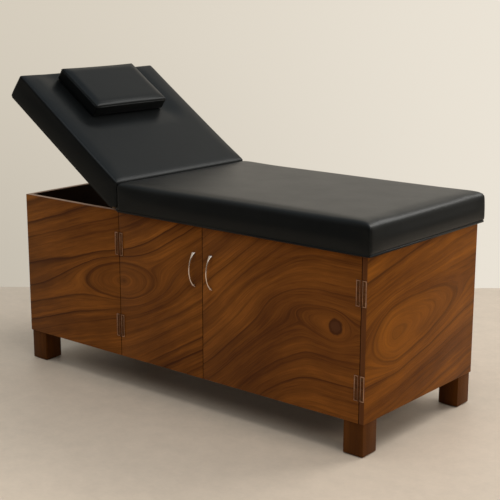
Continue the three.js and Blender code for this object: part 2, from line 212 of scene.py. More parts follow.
# ---- Walnut -------------------------------------------------------------------------------
# A veneer leaf's figure is a field whose contour lines are its growth rings. Far from an eye the
# field is the height over a sloping flow line, round the eye the lines part as a stream parts
# round a stone, and inside the eye they close into ovals.
WARP = 0.011  # how far the lines wander
POINTED = 1.6  # an eye's ends: 2 for an oval, less for a pointed shape
CUT_EDGE_PAINTED_SHADE = (0.009, 0.004, 0.002)  # where a door, or a panel under the seat, is sawn across its veneer: near black, partly the sawn wood's own colour and partly painted shade in the gaps between doors and panels and under the seat's overhang
FRONT_EDGE = (0.135, 0.047, 0.014)  # the sawn faces at the cabinet's corners
EYE_RING = 1.0  # where an eye's dark outer ring lies, as a share of the eye
PARTING = 1.5  # how soon the lines come together again beyond an eye
BROAD_SCALE, MEDIUM_SCALE, FINE_SCALE = 17, 75, 240  # of the streaks across the grain
PATCH_SCALE = 3.2
TONE_SHARES = (0.75, 0.75, 0.65, 0.5)  # of broad streaks, patches, medium and fine streaks
MIDDLE_SHADE = 0.92  # of the wood between its darkest and lightest
RING_WOBBLE = 1.6  # how unevenly the rings are spaced
STREAK_RUN = 0.05  # how fast a streak changes along its length, against across it
RING_PROFILE = ((0.0, 0.0), (0.5, 0.03), (0.8, 0.3), (0.94, 1.0), (1.0, 0.0))  # early to late wood
WEAK_RINGS = 3.7  # faint rings to each strong one
KNOT_WOOD = (0.070, 0.026, 0.013)
KNOT_RAGGED = 0.006
WELL_SHADE_DARK, WELL_SHADE_LIGHT = (0.012, 0.006, 0.003), (0.030, 0.014, 0.006)  # painted shade, near black, inside the well under the backrest


def growth_field(s, across, up, flow, eye):
    wander = s.noise(s.point(across, up), 4.5, 3)
    drift = s.math("MULTIPLY_ADD", wander, 2 * WARP, -WARP)
    up = s.math("ADD", up, drift)
    slope, start, end, rise = flow
    (u0, v0), (left, right), half, turn = eye["centre"], eye["reach"], eye["half"], math.radians(eye["turn"])
    t0 = min(1, max(0, (u0 - start) / (end - start)))
    level = v0 - slope * u0 - rise * t0 * t0 * (3 - 2 * t0)
    line = s.math("SUBTRACT", up, s.span(across, start, end, 0, rise, smooth=True))
    line = s.math("MULTIPLY_ADD", across, -slope, line)
    over = s.math("SUBTRACT", line, level)
    du, dv = s.math("SUBTRACT", across, u0), s.math("SUBTRACT", up, v0)
    along = s.math("MULTIPLY_ADD", du, math.cos(turn), s.math("MULTIPLY", dv, math.sin(turn)))
    aside = s.math("MULTIPLY_ADD", dv, math.cos(turn), s.math("MULTIPLY", du, -math.sin(turn)))
    # The larger of the two is the one on the point's own side of the centre.
    along = s.math("MAXIMUM", s.math("DIVIDE", along, right), s.math("DIVIDE", along, -left))
    aside = s.math("DIVIDE", aside, half)
    rho2 = s.math("ADD", s.math("POWER", along, POINTED), s.math("MULTIPLY", aside, aside))
    rho = s.math("SQRT", rho2)
    parting = s.math("SUBTRACT", 1, s.math("DIVIDE", 1, s.math("POWER", s.math("MAXIMUM", rho2, 1), PARTING)))
    outside = s.math("MULTIPLY_ADD", over, parting, half)
    inside = s.math("MULTIPLY", rho, half)
    is_out = s.math("GREATER_THAN", rho2, 1)
    field = s.math("MULTIPLY_ADD", s.math("SUBTRACT", outside, inside), is_out, inside)
    return field, rho


def inside_cabinet(s):
    """One on the faces that look into the cabinet, and zero elsewhere."""
    shares = []
    for place, k in ((s.x, 0), (s.y, 1)):
        middle, half = (INSIDE_LOW[k] + INSIDE_HIGH[k]) / 2, (INSIDE_HIGH[k] - INSIDE_LOW[k]) / 2
        away = s.math("ABSOLUTE", s.math("SUBTRACT", place, middle))
        shares.append(s.math("LESS_THAN", away, half + 0.5 * MM))
    return s.math("MULTIPLY", *shares)


def walnut(name, axis, flow, eye, dark, light, line, band, knot=None, seed=0.0, rings=15.0):
    """Veneer on a panel that lies in the plane of axis and Z. Colours are the darkest and the
    lightest wood, the ring lines and the edge band on top; a knot is its centre and radius."""
    s = Shader(name, Specular_IOR_Level=0.07)
    across = {"x": s.x, "y": s.y}[axis]
    field, rho = growth_field(s, across, s.z, flow, eye)
    run = [s.math("MULTIPLY", place, STREAK_RUN) for place in (across, s.z)]
    streaks = s.point(s.math("ADD", field, seed), *run)
    broad = s.noise(streaks, BROAD_SCALE, 2, 0.5)
    medium = s.noise(streaks, MEDIUM_SCALE, 3, 0.6)
    fine = s.noise(streaks, FINE_SCALE, 3, 0.65)
    patch = s.noise(s.point(across, s.z, seed), PATCH_SCALE, 3)
    tone = 0.5
    for layer, share in zip((broad, patch, medium, fine), TONE_SHARES):
        tone = s.math("MULTIPLY_ADD", s.math("SUBTRACT", layer, 0.5), share, tone)
    middle = tuple((a + b) / 2 * MIDDLE_SHADE for a, b in zip(dark, light))
    colour = s.ramp(tone, [(0.2, dark), (0.5, middle), (0.8, light)])

    wobble = s.math("MULTIPLY", s.noise(streaks, 9, 1), RING_WOBBLE)
    phase = s.math("MULTIPLY_ADD", field, rings, wobble)
    ring_stops = [(place, (level,) * 3) for place, level in RING_PROFILE]
    late = s.ramp(s.math("FRACT", phase), ring_stops)
    weak = s.ramp(s.math("FRACT", s.math("MULTIPLY", phase, WEAK_RINGS)), ring_stops)
    strength = s.span(s.noise(streaks, 8, 1), 0.38, 0.62, 0.2, 0.9)
    faint = s.span(s.noise(s.scaled(streaks, (1, 3, 3)), 30, 2), 0.4, 0.62, 0.0, 0.45)
    colour = s.mix(s.math("MULTIPLY", late, strength), colour, line)
    colour = s.mix(s.math("MULTIPLY", weak, faint), colour, line)

    pale, core = eye["pale"], eye["core"]
    glow = s.span(rho, 0.15, 0.75, pale, 0.0, smooth=True)
    colour = s.mix(glow, colour, light)
    heart = s.span(rho, 0.0, 0.12, core, 0.0, smooth=True)
    colour = s.mix(heart, colour, line)
    ring = s.math("ABSOLUTE", s.math("SUBTRACT", s.math("MULTIPLY_ADD", wobble, 0.12, rho), EYE_RING))
    colour = s.mix(s.span(ring, 0.0, 0.08, eye["ring"], 0.0, smooth=True), colour, line)
    if knot:
        (u, v), radius = knot
        du, dv = s.math("SUBTRACT", across, u), s.math("SUBTRACT", s.z, v)
        far = s.math("SQRT", s.math("MULTIPLY_ADD", du, du, s.math("MULTIPLY", dv, dv)))
        ragged = s.noise(s.point(across, s.z), 60, 2)
        far = s.math("MULTIPLY_ADD", ragged, 2 * KNOT_RAGGED, s.math("SUBTRACT", far, KNOT_RAGGED))
        colour = s.mix(s.span(far, radius * 0.6, radius * 1.15, 0.85, 0, smooth=True), colour, KNOT_WOOD)
        outline = s.math("ABSOLUTE", s.math("SUBTRACT", far, radius * 0.85))
        colour = s.mix(s.span(outline, 0, radius * 0.3, 0.8, 0, smooth=True), colour, line)

    pore_place = s.scaled(streaks, (1, 12, 12))
    pores = s.span(s.noise(pore_place, 700, 1), 0.62, 0.74)
    colour = s.mix(s.math("MULTIPLY", pores, 0.35), colour, line)
    facing = s.node("SeparateXYZ", {0: s.coordinates.outputs["Normal"]}).outputs
    # Sawn faces between doors and panels are near black: partly their own colour, partly painted shade in the
    # gaps.
    if axis == "x":
        head_end = s.math("LESS_THAN", s.x, INSIDE_LOW[0])
        foot_end = s.math("GREATER_THAN", s.x, INSIDE_HIGH[0])
        cut_end, cut_and_gap_shade_colour = facing[0], s.mix(s.math("ADD", head_end, foot_end), CUT_EDGE_PAINTED_SHADE, FRONT_EDGE)
    else:
        cut_end, cut_and_gap_shade_colour = facing[1], FRONT_EDGE
    colour = s.mix(s.math("GREATER_THAN", s.math("ABSOLUTE", cut_end), 0.5), colour, cut_and_gap_shade_colour)
    edge_streaks = s.noise(s.scaled(s.object, (6, 60, 60)), 5, 3)
    edge = s.mix(edge_streaks, tuple(c * 0.7 for c in band), tuple(c * 1.2 for c in band))
    # Top edges under the seat's overhang are painted shade, near black.
    edge = s.mix(s.math("GREATER_THAN", s.x, SEAT_LOW.x), edge, CUT_EDGE_PAINTED_SHADE)
    colour = s.mix(s.math("GREATER_THAN", facing[2], 0.6), colour, edge)
    # Faces inside the cabinet: under the seat they take the wood's darker half; in the well under the backrest
    # they take painted shade, near black.
    inside_faces = s.math("MULTIPLY", inside_cabinet(s), s.math("LESS_THAN", facing[2], 0.6))
    well_shade = s.mix(fine, WELL_SHADE_DARK, WELL_SHADE_LIGHT)
    inner = s.mix(s.math("GREATER_THAN", s.x, SEAT_LOW.x), well_shade, s.mix(medium, dark, middle))
    colour = s.mix(inside_faces, colour, inner)
    rough = s.math("MULTIPLY_ADD", medium, 0.18, 0.40)
    height = s.math("SUBTRACT", s.math("MULTIPLY", medium, 0.6), pores)
    s.set(Base_Color=colour, Roughness=rough, Normal=s.bump(height, 0.00012))
    return s.material


def straight_wood(name, run, dark, light, roughness=0.5, stripes=34.0):
    """Wood whose grain runs straight along an axis, 0 to 2."""
    s = Shader(name, Roughness=roughness, Specular_IOR_Level=0.1)
    stretch = [1.0, 1.0, 1.0]
    stretch[run] = 0.045
    place = s.scaled(s.object, tuple(stretch))
    broad = s.noise(place, stripes, 3, 0.55)
    fine = s.noise(place, stripes * 14, 2, 0.6)
    tone = s.math("MULTIPLY_ADD", fine, 0.35, s.math("MULTIPLY", broad, 0.85))
    colour = s.ramp(tone, [(0.32, dark), (0.85, light)])
    pores = s.span(s.noise(s.scaled(place, (1, 1, 2)), 900, 1), 0.6, 0.72)
    colour = s.mix(s.math("MULTIPLY", pores, 0.4), colour, tuple(c * 0.4 for c in dark))
    s.set(Base_Color=colour, Roughness=s.math("MULTIPLY_ADD", fine, 0.15, roughness - 0.07))
    s.set(Normal=s.bump(s.math("SUBTRACT", fine, pores), 0.00015))
    return s.material


def plywood(name="plywood", wrapped_to=None):
    """Birch plywood. The seat's board has its head end wrapped in vinyl up to a place along X."""
    s = Shader(name, Roughness=0.65)
    face = s.noise(s.scaled(s.object, (0.06, 1, 1)), 60, 3, 0.6)
    colour = s.ramp(face, [(0.3, (0.42, 0.26, 0.12)), (0.7, (0.60, 0.42, 0.22))])
    if wrapped_to:
        colour = s.mix(s.math("LESS_THAN", s.x, wrapped_to), colour, VINYL_BLACK)
    s.set(Base_Color=colour, Normal=s.bump(face, 0.0002))
    return s.material


# ---- Other finishes -----------------------------------------------------------------------
VINYL_BLACK = (0.0045, 0.0050, 0.0052)


def vinyl(name="vinyl", colour=VINYL_BLACK, roughness=0.34):
    """Black upholstery vinyl with a fine pebbled grain."""
    s = Shader(name, Roughness=roughness, Specular_IOR_Level=0.15, Specular_Tint=(0.9, 0.97, 1.0, 1.0))
    soft = s.noise(s.object, 9, 3, 0.6)
    pebbles = s.cells(s.object, 720, "SMOOTH_F1")
    creases = s.noise(s.object, 1500, 2, 0.6)
    shade = s.mix(soft, tuple(c * 0.75 for c in colour), tuple(c * 1.35 for c in colour))
    rough = s.math("MULTIPLY_ADD", soft, 0.08, roughness - 0.04)
    grain = s.math("MULTIPLY_ADD", creases, 0.35, pebbles)
    normal = s.bump(grain, 0.00009)
    normal = s.bump(s.noise(s.object, 26, 2), 0.0012, normal, 0.22)
    s.set(Base_Color=shade, Roughness=rough, Normal=normal)
    return s.material


def metal(name, colour, roughness, brushed=(1, 1, 0.05), stain=None, metallic=1.0, shine=0.5):
    """Metal with a brushed grain along its stretched axis and, if stained, darker patches."""
    s = Shader(name, Metallic=metallic, Roughness=roughness, Specular_IOR_Level=shine)
    grain = s.noise(s.scaled(s.object, brushed), 900, 2, 0.7)
    patches = s.noise(s.object, 70, 4, 0.65)
    shade = s.mix(grain, tuple(c * 0.82 for c in colour), tuple(min(1, c * 1.12) for c in colour))
    if stain:
        shade = s.mix(s.span(patches, 0.45, 0.7, 0, 0.8), shade, stain)
    rough = s.math("MULTIPLY_ADD", patches, 0.2, s.math("MULTIPLY_ADD", grain, 0.12, roughness - 0.14))
    s.set(Base_Color=shade, Roughness=rough, Normal=s.bump(grain, 0.00004))
    return s.material


def plain_moulded(name, colour, roughness, grain_scale=900):
    """Rubber, nylon or powder coat: fine orange peel and uneven shine."""
    s = Shader(name, Roughness=roughness)
    peel = s.noise(s.object, grain_scale, 2, 0.5)
    cloud = s.noise(s.object, 30, 3, 0.6)
    s.set(Base_Color=s.mix(cloud, tuple(c * 0.7 for c in colour), tuple(c * 1.4 for c in colour)))
    s.set(Roughness=s.math("MULTIPLY_ADD", cloud, 0.16, roughness - 0.08), Normal=s.bump(peel, 0.00012))
    return s.material


# Each eye's ring, core and pale heart are shares of the line colour or the light wood.
EDGE_BAND = (0.42, 0.27, 0.19)
FRONT_WOOD = {
    "dark": (0.125, 0.039, 0.0075),
    "light": (0.345, 0.117, 0.0180),
    "line": (0.052, 0.0150, 0.0048),
}
END_WOOD = {
    "dark": (0.120, 0.035, 0.0032),
    "light": (0.315, 0.103, 0.0090),
    "line": (0.055, 0.0160, 0.002),
}
LEFT_EYE = {
    "centre": (-0.262, 0.424), "reach": (0.250, 0.172), "half": 0.078, "turn": 8,
    "pale": 0.2, "core": 0.6, "ring": 0.2,
}
RIGHT_EYE = {
    "centre": (0.725, 0.435), "reach": (0.16, 0.075), "half": 0.055, "turn": -6,
    "pale": 0.6, "core": 0.0, "ring": 0.1,
}
END_EYE = {
    "centre": (-0.175, 0.394), "reach": (0.15, 0.43), "half": 0.105, "turn": 10,
    "pale": 0.40, "core": 0.35, "ring": 0.5,
}
RIGHT_KNOT = ((0.730, 0.435), 0.028)
# A flow line's slope, and where it starts and ends a rise, and by how much.
LEFT_FLOW = (0.30, -0.3, 0.3, 0.13)
RIGHT_FLOW = (0.0, -0.05, 0.66, 0.42)
END_FLOW = (0.12, -0.6, 0.6, 0.1)


def make_materials():
    left = walnut("walnut_left", "x", LEFT_FLOW, LEFT_EYE, band=EDGE_BAND, **FRONT_WOOD)
    right = walnut("walnut_right", "x", RIGHT_FLOW, RIGHT_EYE, band=EDGE_BAND, knot=RIGHT_KNOT, seed=0.3,
                   **FRONT_WOOD)
    end = walnut("walnut_end", "y", END_FLOW, END_EYE, band=EDGE_BAND, seed=0.7, **END_WOOD)
    return {
        "walnut_left": left,
        "walnut_right": right,
        "walnut_end": end,
        "walnut_inner": straight_wood("walnut_inner", 0, (0.030, 0.012, 0.005), (0.085, 0.032, 0.011)),
        "leg_wood": straight_wood("leg_wood", 2, (0.056, 0.0160, 0.0015), (0.135, 0.041, 0.0035)),
        "plywood": plywood(),
        "wrapped_plywood": plywood("wrapped_plywood", wrapped_to=SEAT_LOW.x + 0.002),
        "vinyl": vinyl(),
        "nickel": metal("nickel", (0.92, 0.76, 0.63), 0.22),
        "antique_metal": metal("antique_metal", (0.13, 0.045, 0.013), 0.5, stain=(0.07, 0.025, 0.009),
                               metallic=0.0, shine=0.1),
        "worn_brass": metal("worn_brass", (0.66, 0.38, 0.22), 0.34, stain=(0.34, 0.18, 0.09), metallic=0.35),
        "screw_bronze": metal("screw_bronze", (0.17, 0.08, 0.035), 0.45, stain=(0.06, 0.03, 0.012)),
        "zinc": metal("zinc", (0.55, 0.56, 0.57), 0.35, stain=(0.40, 0.40, 0.36)),
        "black_steel": plain_moulded("black_steel", (0.022, 0.023, 0.025), 0.45),
        "rubber": plain_moulded("rubber", (0.012, 0.012, 0.012), 0.75),
        "nylon": plain_moulded("nylon", (0.021, 0.018, 0.016), 0.5),
    }


# ---- CAD nodes ----------------------------------------------------------------------------
EDGE_SMOOTH = math.radians(32)
BEVELS = {"walnut_front": 1.2, "walnut_end": 1.0, "walnut_inner": 0.8, "leg_wood": 2.0, "plywood": 0.6,
          "antique_metal": 0.3, "zinc": 0.3, "black_steel": 0.6, "rubber": 1.0, "nylon": 0.8}


def smoothing_group():
    """Smooths the shading everywhere but over sharp edges."""
    group = bpy.data.node_groups.new("smooth_by_angle", "GeometryNodeTree")
    group.interface.new_socket("Geometry", in_out="INPUT", socket_type="NodeSocketGeometry")
    group.interface.new_socket("Geometry", in_out="OUTPUT", socket_type="NodeSocketGeometry")
    make, link = group.nodes.new, group.links.new
    start, end = make("NodeGroupInput"), make("NodeGroupOutput")
    faces, edges = make("GeometryNodeSetShadeSmooth"), make("GeometryNodeSetShadeSmooth")
    faces.domain, edges.domain = "FACE", "EDGE"
    angle, gentle = make("GeometryNodeInputMeshEdgeAngle"), make("FunctionNodeCompare")
    gentle.operation = "LESS_THAN"
    gentle.inputs[1].default_value = EDGE_SMOOTH
    link(angle.outputs["Unsigned Angle"], gentle.inputs[0])
    link(gentle.outputs[0], edges.inputs["Shade Smooth"])
    link(start.outputs[0], faces.inputs["Geometry"])
    link(faces.outputs[0], edges.inputs["Geometry"])
    link(edges.outputs[0], end.inputs[0])
    return group


def finish_cad_nodes(finishes):
    smoothing = smoothing_group()
    left = {"front_fixed_panel", "left_door_panel", "rear_panel"}
    for row in frame["record"]["subparts"]:
        name, slot = row["node"], row["material_slot"]
        node = nodes[name]
        if name == "seat_base_board":
            material = finishes["wrapped_plywood"]
        elif slot == "walnut_front":
            material = finishes["walnut_left" if name in left else "walnut_right"]
        else:
            material = finishes[slot]
        node.data.materials.clear()
        node.data.materials.append(material)
        weld = node.modifiers.new("weld", "WELD")
        weld.merge_threshold = 1e-5
        if slot in BEVELS:
            bevel = node.modifiers.new("bevel", "BEVEL")
            bevel.width = BEVELS[slot] * MM
            bevel.segments = 2
            bevel.limit_method = "ANGLE"
            bevel.angle_limit = EDGE_SMOOTH
        node.modifiers.new("smooth", "NODES").node_group = smoothing


# ---- Mesh helpers -------------------------------------------------------------------------
def new_object(name, mesh, material):
    made = bpy.data.objects.new(name, mesh)
    bpy.context.scene.collection.objects.link(made)
    mesh.materials.clear()
    mesh.materials.append(material)
    mesh.shade_smooth()
    return made


def mesh_of(build, name):
    work = bmesh.new()
    build(work)
    bmesh.ops.recalc_face_normals(work, faces=work.faces)
    mesh = bpy.data.meshes.new(name)
    work.to_mesh(mesh)
    work.free()
    return mesh


def applied(obj):
    """Replaces an object's mesh by the one its modifiers make."""
    bpy.context.view_layer.update()
    depsgraph = bpy.context.evaluated_depsgraph_get()
    mesh = bpy.data.meshes.new_from_object(obj.evaluated_get(depsgraph))
    obj.modifiers.clear()
    old, obj.data = obj.data, mesh
    bpy.data.meshes.remove(old)
    mesh.shade_smooth()


def places_of(mesh):
    co = np.empty(len(mesh.vertices) * 3)
    mesh.vertices.foreach_get("co", co)
    return co.reshape(-1, 3)


def prism(outline, y0, y1):
    """A closed solid between y0 and y1 with a side outline in X and Z."""
    def build(work):
        near = [work.verts.new((x, y0, z)) for x, z in outline]
        far = [work.verts.new((x, y1, z)) for x, z in outline]
        work.faces.new(near)
        work.faces.new(far[::-1])
        for i in range(len(outline)):
            j = (i + 1) % len(outline)
            work.faces.new((near[i], far[i], far[j], near[j]))
    return build


def tube(name, path, radius, material, sides=10, closed=False):
    """A round tube along a path, with closed ends unless the path is a loop."""
    path = [Vector(p) for p in path]
    count = len(path)

    def build(work):
        rings = []
        side = None
        for i, here in enumerate(path):
            ahead = path[(i + 1) % count] if closed or i + 1 < count else here
            behind = path[i - 1] if closed or i > 0 else here
            along = (ahead - behind).normalized()
            if side is None:
                side = along.orthogonal().normalized()
            side = (side - along * side.dot(along)).normalized()
            other = along.cross(side)
            turns = [2 * math.pi * k / sides for k in range(sides)]
            spokes = [math.cos(t) * side + math.sin(t) * other for t in turns]
            rings.append([work.verts.new(here + radius * spoke) for spoke in spokes])
        pairs = list(zip(rings, rings[1:])) + ([(rings[-1], rings[0])] if closed else [])
        for a, b in pairs:
            for k in range(sides):
                j = (k + 1) % sides
                work.faces.new((a[k], a[j], b[j], b[k]))
        if not closed:
            work.faces.new(rings[0][::-1])
            work.faces.new(rings[-1])
    return new_object(name, mesh_of(build, name), material)


# ---- Cushions -----------------------------------------------------------------------------
def softened(points, low, high, near, far):
    """Points on a box's surface, brought onto the same box with rounded edges. near and far are
    the radii along each axis at its low and its high side; the corners stay squarer than a ball."""
    low, high, near, far = (np.array(v, dtype=float) for v in (low, high, near, far))
    core = np.clip(points, low + near, high - far)
    off = points - core
    share = np.abs(off) / np.maximum(np.where(off < 0, near, far), 1e-6)
    plan = (share[:, 0] ** SQUARENESS + share[:, 1] ** SQUARENESS) ** (1 / SQUARENESS)
    return core + off / np.maximum(np.hypot(plan, share[:, 2]), 1)[:, None]


def evened(values, pairs, rounds):
    """Vertex values, averaged with their neighbours' a number of times."""
    a, b = pairs.T
    count = (np.bincount(a, minlength=len(values)) + np.bincount(b, minlength=len(values)))[:, None]
    for _ in range(rounds):
        total = np.zeros_like(values)
        np.add.at(total, a, values[b])
        np.add.at(total, b, values[a])
        values = EVEN_KEPT * values + (1 - EVEN_KEPT) * total / np.maximum(count, 1)
    return values


def stuffed(obj, voxel, pressure, cap, held, shape, frames=14):
    """Fills a closed mesh as foam fills its cover: a cloth simulation under inner pressure, with
    the vertices for which held() is true kept in place and no point moving further than cap.
    shape() rounds the remeshed edges first, and the swelling is evened out, as firm foam does."""
    remesh = obj.modifiers.new("remesh", "REMESH")
    remesh.mode = "VOXEL"
    remesh.voxel_size = voxel
    applied(obj)
    start = shape(places_of(obj.data))
    obj.data.vertices.foreach_set("co", start.ravel())
    kept = held(start)
    pins = obj.vertex_groups.new(name="held")
    pins.add([int(i) for i in np.flatnonzero(kept)], 1.0, "REPLACE")
    cloth = obj.modifiers.new("cloth", "CLOTH")
    cloth.settings.quality = 3
    cloth.settings.mass = 0.4
    cloth.settings.tension_stiffness = 40
    cloth.settings.compression_stiffness = 40
    cloth.settings.bending_stiffness = 8
    cloth.settings.use_pressure = True
    cloth.settings.uniform_pressure_force = pressure
    cloth.settings.vertex_group_mass = "held"
    cloth.settings.effector_weights.gravity = 0
    cloth.collision_settings.use_collision = False
    cloth.collision_settings.use_self_collision = False
    cloth.point_cache.frame_end = frames
    for step in range(1, frames + 1):
        bpy.context.scene.frame_set(step)
    bpy.context.view_layer.update()
    result = obj.evaluated_get(bpy.context.evaluated_depsgraph_get())
    moved = places_of(result.data) - start
    far = np.linalg.norm(moved, axis=1, keepdims=True)
    moved *= np.minimum(1, cap / np.maximum(far, 1e-9))
    pairs = np.empty(len(obj.data.edges) * 2, dtype=np.int32)
    obj.data.edges.foreach_get("vertices", pairs)
    moved = evened(moved, pairs.reshape(-1, 2), EVEN_ROUNDS)
    moved[kept] = 0
    obj.modifiers.clear()
    obj.vertex_groups.clear()
    obj.data.vertices.foreach_set("co", (start + moved).ravel())
    bpy.context.scene.frame_set(1)
    smooth = obj.modifiers.new("smooth", "SUBSURF")
    smooth.levels = smooth.render_levels = 1
    applied(obj)


def surface_point(tree, start, aim):
    """Where the way from start to aim meets a cushion's surface."""
    way = Vector(aim) - Vector(start)
    hit = tree.ray_cast(Vector(start), way.normalized(), way.length)
    return hit[0] if hit[0] else Vector(aim)


def tree_of(obj):
    bpy.context.view_layer.update()
    return BVHTree.FromObject(obj, bpy.context.evaluated_depsgraph_get())


SQUARENESS = 12  # of a cushion's corners in plan
CUSHION_PROUD = 0.0035  # of the seat's cover over its CAD solid's sides, before it swells
SEAT_EDGE = 0.019  # radii of the rounded edges: the seat's front and top
SEAT_END = 0.027  # the seat's foot end
SEAT_REAR = 0.012
HEAD_EDGE = 0.007  # the backrest's head end, sides and top
FOLD_EDGE = 0.009  # where the backrest and the seat meet
PIPING = 0.0022
PIPING_POINTS = 96
PIPING_SQUARENESS = 9  # of the piping's loop in plan
PIPING_AIM = 0.8  # where the way to the surface ends, as a share of the pillow's half sizes
PIPING_AWAY = 0.4  # how much further out it starts
DENT_EDGE = 0.11  # how far round the pillow the backrest's cushion gives
DENT_GAP = 0.0004  # between the pillow and the dented cushion
PILLOW_EDGE = 0.009
HEM = 0.0045  # radius of the rolled lower edge of the upholstery
HEM_CORNER = 0.006
HEM_STOP = 0.02  # from the backrest's axis to its hem's ends
CORNER_SEAM = 0.0014
SEAM_LOW, SEAM_HIGH = 0.001, 0.006  # from the seat cover's lower and upper edges to a seam's ends
SEAM_POINTS = 14
SEAM_AWAY = 0.06  # how far outside the corner the way to the surface starts
BOARD_GAP = 0.0006  # a cover's lower edge over its board's underside
FOLD_GAP, BACKREST_GAP = 0.001, 0.0012  # of the two covers to the plane of the seat's head end
SEAT_CROWN, BACKREST_CROWN = 0.002, 0.006  # over the CAD solids' tops, before the covers swell
CUSHION_VOXEL, PILLOW_VOXEL = 0.009, 0.005
STUFFING = 3.0  # the simulation's inner pressure
EVEN_KEPT, EVEN_ROUNDS = 0.4, 10  # a point's own share in each averaging, and how often it is done
SEAT_SWELL, BACKREST_SWELL, PILLOW_SWELL = 0.006, 0.003, 0.005  # the furthest a point may move
HELD_LOW, HELD_FOLD, PILLOW_HELD = 0.012, 0.006, 0.004  # depths of the bands that stay in place
TOE = 0.006  # from the axis to where the flat backrest's underside turns up


def hem_path(start, end, y0, y1, z):
    """A hem's way at a height, from a start along X to a pad's end and back, round two corners."""
    before = end - math.copysign(HEM_CORNER, end - start)
    return [(start, y0, z), (before, y0, z), (end, y0 + HEM_CORNER, z),
            (end, y1 - HEM_CORNER, z), (before, y1, z), (start, y1, z)]


def make_seat(vinyl_finish):
    low = Vector((SEAT_LOW.x + FOLD_GAP, SEAT_LOW.y - CUSHION_PROUD, BOARD_LOW.z + BOARD_GAP))
    high = SEAT_HIGH + Vector((CUSHION_PROUD, CUSHION_PROUD, SEAT_CROWN))
    corners = [(low.x, low.z), (high.x, low.z), (high.x, high.z), (low.x, high.z)]
    mesh = mesh_of(prism(corners, low.y, high.y), "seat_upholstery")
    seat = new_object("seat_upholstery", mesh, vinyl_finish)

    def shape(p):
        return softened(p, low, high, (FOLD_EDGE, SEAT_EDGE, 0), (SEAT_END, SEAT_REAR, SEAT_EDGE))

    def held(p):
        return (p[:, 2] < low.z + HELD_LOW) | (p[:, 0] < low.x + HELD_FOLD)
    stuffed(seat, CUSHION_VOXEL, STUFFING, SEAT_SWELL, held, shape)
    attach(seat, "cabinet")
    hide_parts("seat_cushion")
    path = hem_path(low.x, high.x - HEM, low.y + HEM, high.y - HEM, BOARD_LOW.z + HEM / 2)
    hem = tube("seat_hem", path, HEM, vinyl_finish)
    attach(hem, "cabinet")
    tree = tree_of(seat)
    for where, y, out in (("front", low.y, -1), ("rear", high.y, 1)):
        aim = Vector((high.x - SEAT_EDGE, y - out * SEAT_EDGE, 0))
        heights = np.linspace(low.z + SEAM_LOW, high.z - SEAM_HIGH, SEAM_POINTS)
        away = Vector((1, out, 0)) * SEAM_AWAY
        path = [surface_point(tree, aim + away + Vector((0, 0, h)), aim + Vector((0, 0, h))) for h in heights]
        seam = tube(f"seat_{where}_corner_seam", path, CORNER_SEAM, vinyl_finish)
        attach(seam, "cabinet")


def press_under_pillow(cushion):
    """Lets the pillow sink its own dent, with a soft edge, into the flat backrest's cushion."""
    low, high = flat_box("pillow")
    points = places_of(cushion.data)
    over = np.maximum(np.abs(points[:, 0] - (low.x + high.x) / 2) - (high.x - low.x) / 2, 0)
    beside = np.maximum(np.abs(points[:, 1] - (low.y + high.y) / 2) - (high.y - low.y) / 2, 0)
    share = np.clip(1 - np.hypot(over, beside) / DENT_EDGE, 0, 1)
    share = share * share * (3 - 2 * share)
    down = np.maximum(points[:, 2] - (low.z - DENT_GAP), 0)
    points[:, 2] -= down * share
    cushion.data.vertices.foreach_set("co", points.ravel())


def make_backrest(vinyl_finish):
    """The backrest's upholstery, drawn with the backrest flat and then tilted. Its foot end is cut
    to meet the seat's end face at rest."""
    pad_low, pad_high = flat_box("backrest_cushion")
    board_low = flat_box("backrest_base_board")[0]
    face = SEAT_LOW.x - BACKREST_GAP
    lean = math.tan(TILT)

    def at_face(height):
        """How far along the flat backrest the seat's end face lies, at a height over the axis."""
        return (face - PIVOT.x) / math.cos(TILT) - height * lean

    bottom = board_low.z + BOARD_GAP
    low = Vector((pad_low.x - 2 * CUSHION_PROUD, SEAT_LOW.y - CUSHION_PROUD / 2, bottom))
    high = Vector((at_face(0), SEAT_HIGH.y + CUSHION_PROUD / 2, pad_high.z + BACKREST_CROWN))
    kink = FLAT @ Vector((face, 0, BOARD_HIGH.z))
    corners = [(low.x, bottom), (-TOE, bottom), (kink.x, kink.z), (at_face(high.z), high.z), (low.x, high.z)]
    mesh = mesh_of(prism(corners, low.y, high.y), "backrest_upholstery")
    backrest = new_object("backrest_upholstery", mesh, vinyl_finish)

    def shape(p):
        # The head end first, then the slanted fold end, sheared upright while it is rounded.
        head = (HEAD_EDGE, HEAD_EDGE, 0)
        p = softened(p, low, high + Vector((1, 0, 0)), head, (0, HEAD_EDGE, HEAD_EDGE))
        upright = p + p[:, 2:] * (lean, 0, 0)
        fold = (FOLD_EDGE, HEAD_EDGE, HEAD_EDGE)
        upright = softened(upright, low - Vector((1, 0, 0)), high, (0, HEAD_EDGE, 0), fold)
        return upright - upright[:, 2:] * (lean, 0, 0)

    def held(p):
        return (p[:, 2] < bottom + HELD_LOW) | (p[:, 0] > at_face(p[:, 2]) - HELD_FOLD)
    stuffed(backrest, CUSHION_VOXEL, STUFFING, BACKREST_SWELL, held, shape)
    press_under_pillow(backrest)
    path = hem_path(-HEM_STOP, low.x + HEM, low.y + HEM, high.y - HEM, board_low.z + HEM)
    hem = tube("backrest_hem", path, HEM, vinyl_finish)
    hem.data.transform(TILTED)
    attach(hem, "backrest")
    backrest.data.transform(TILTED)
    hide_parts("backrest_cushion", "backrest_cushion_fold")
    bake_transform(backrest)


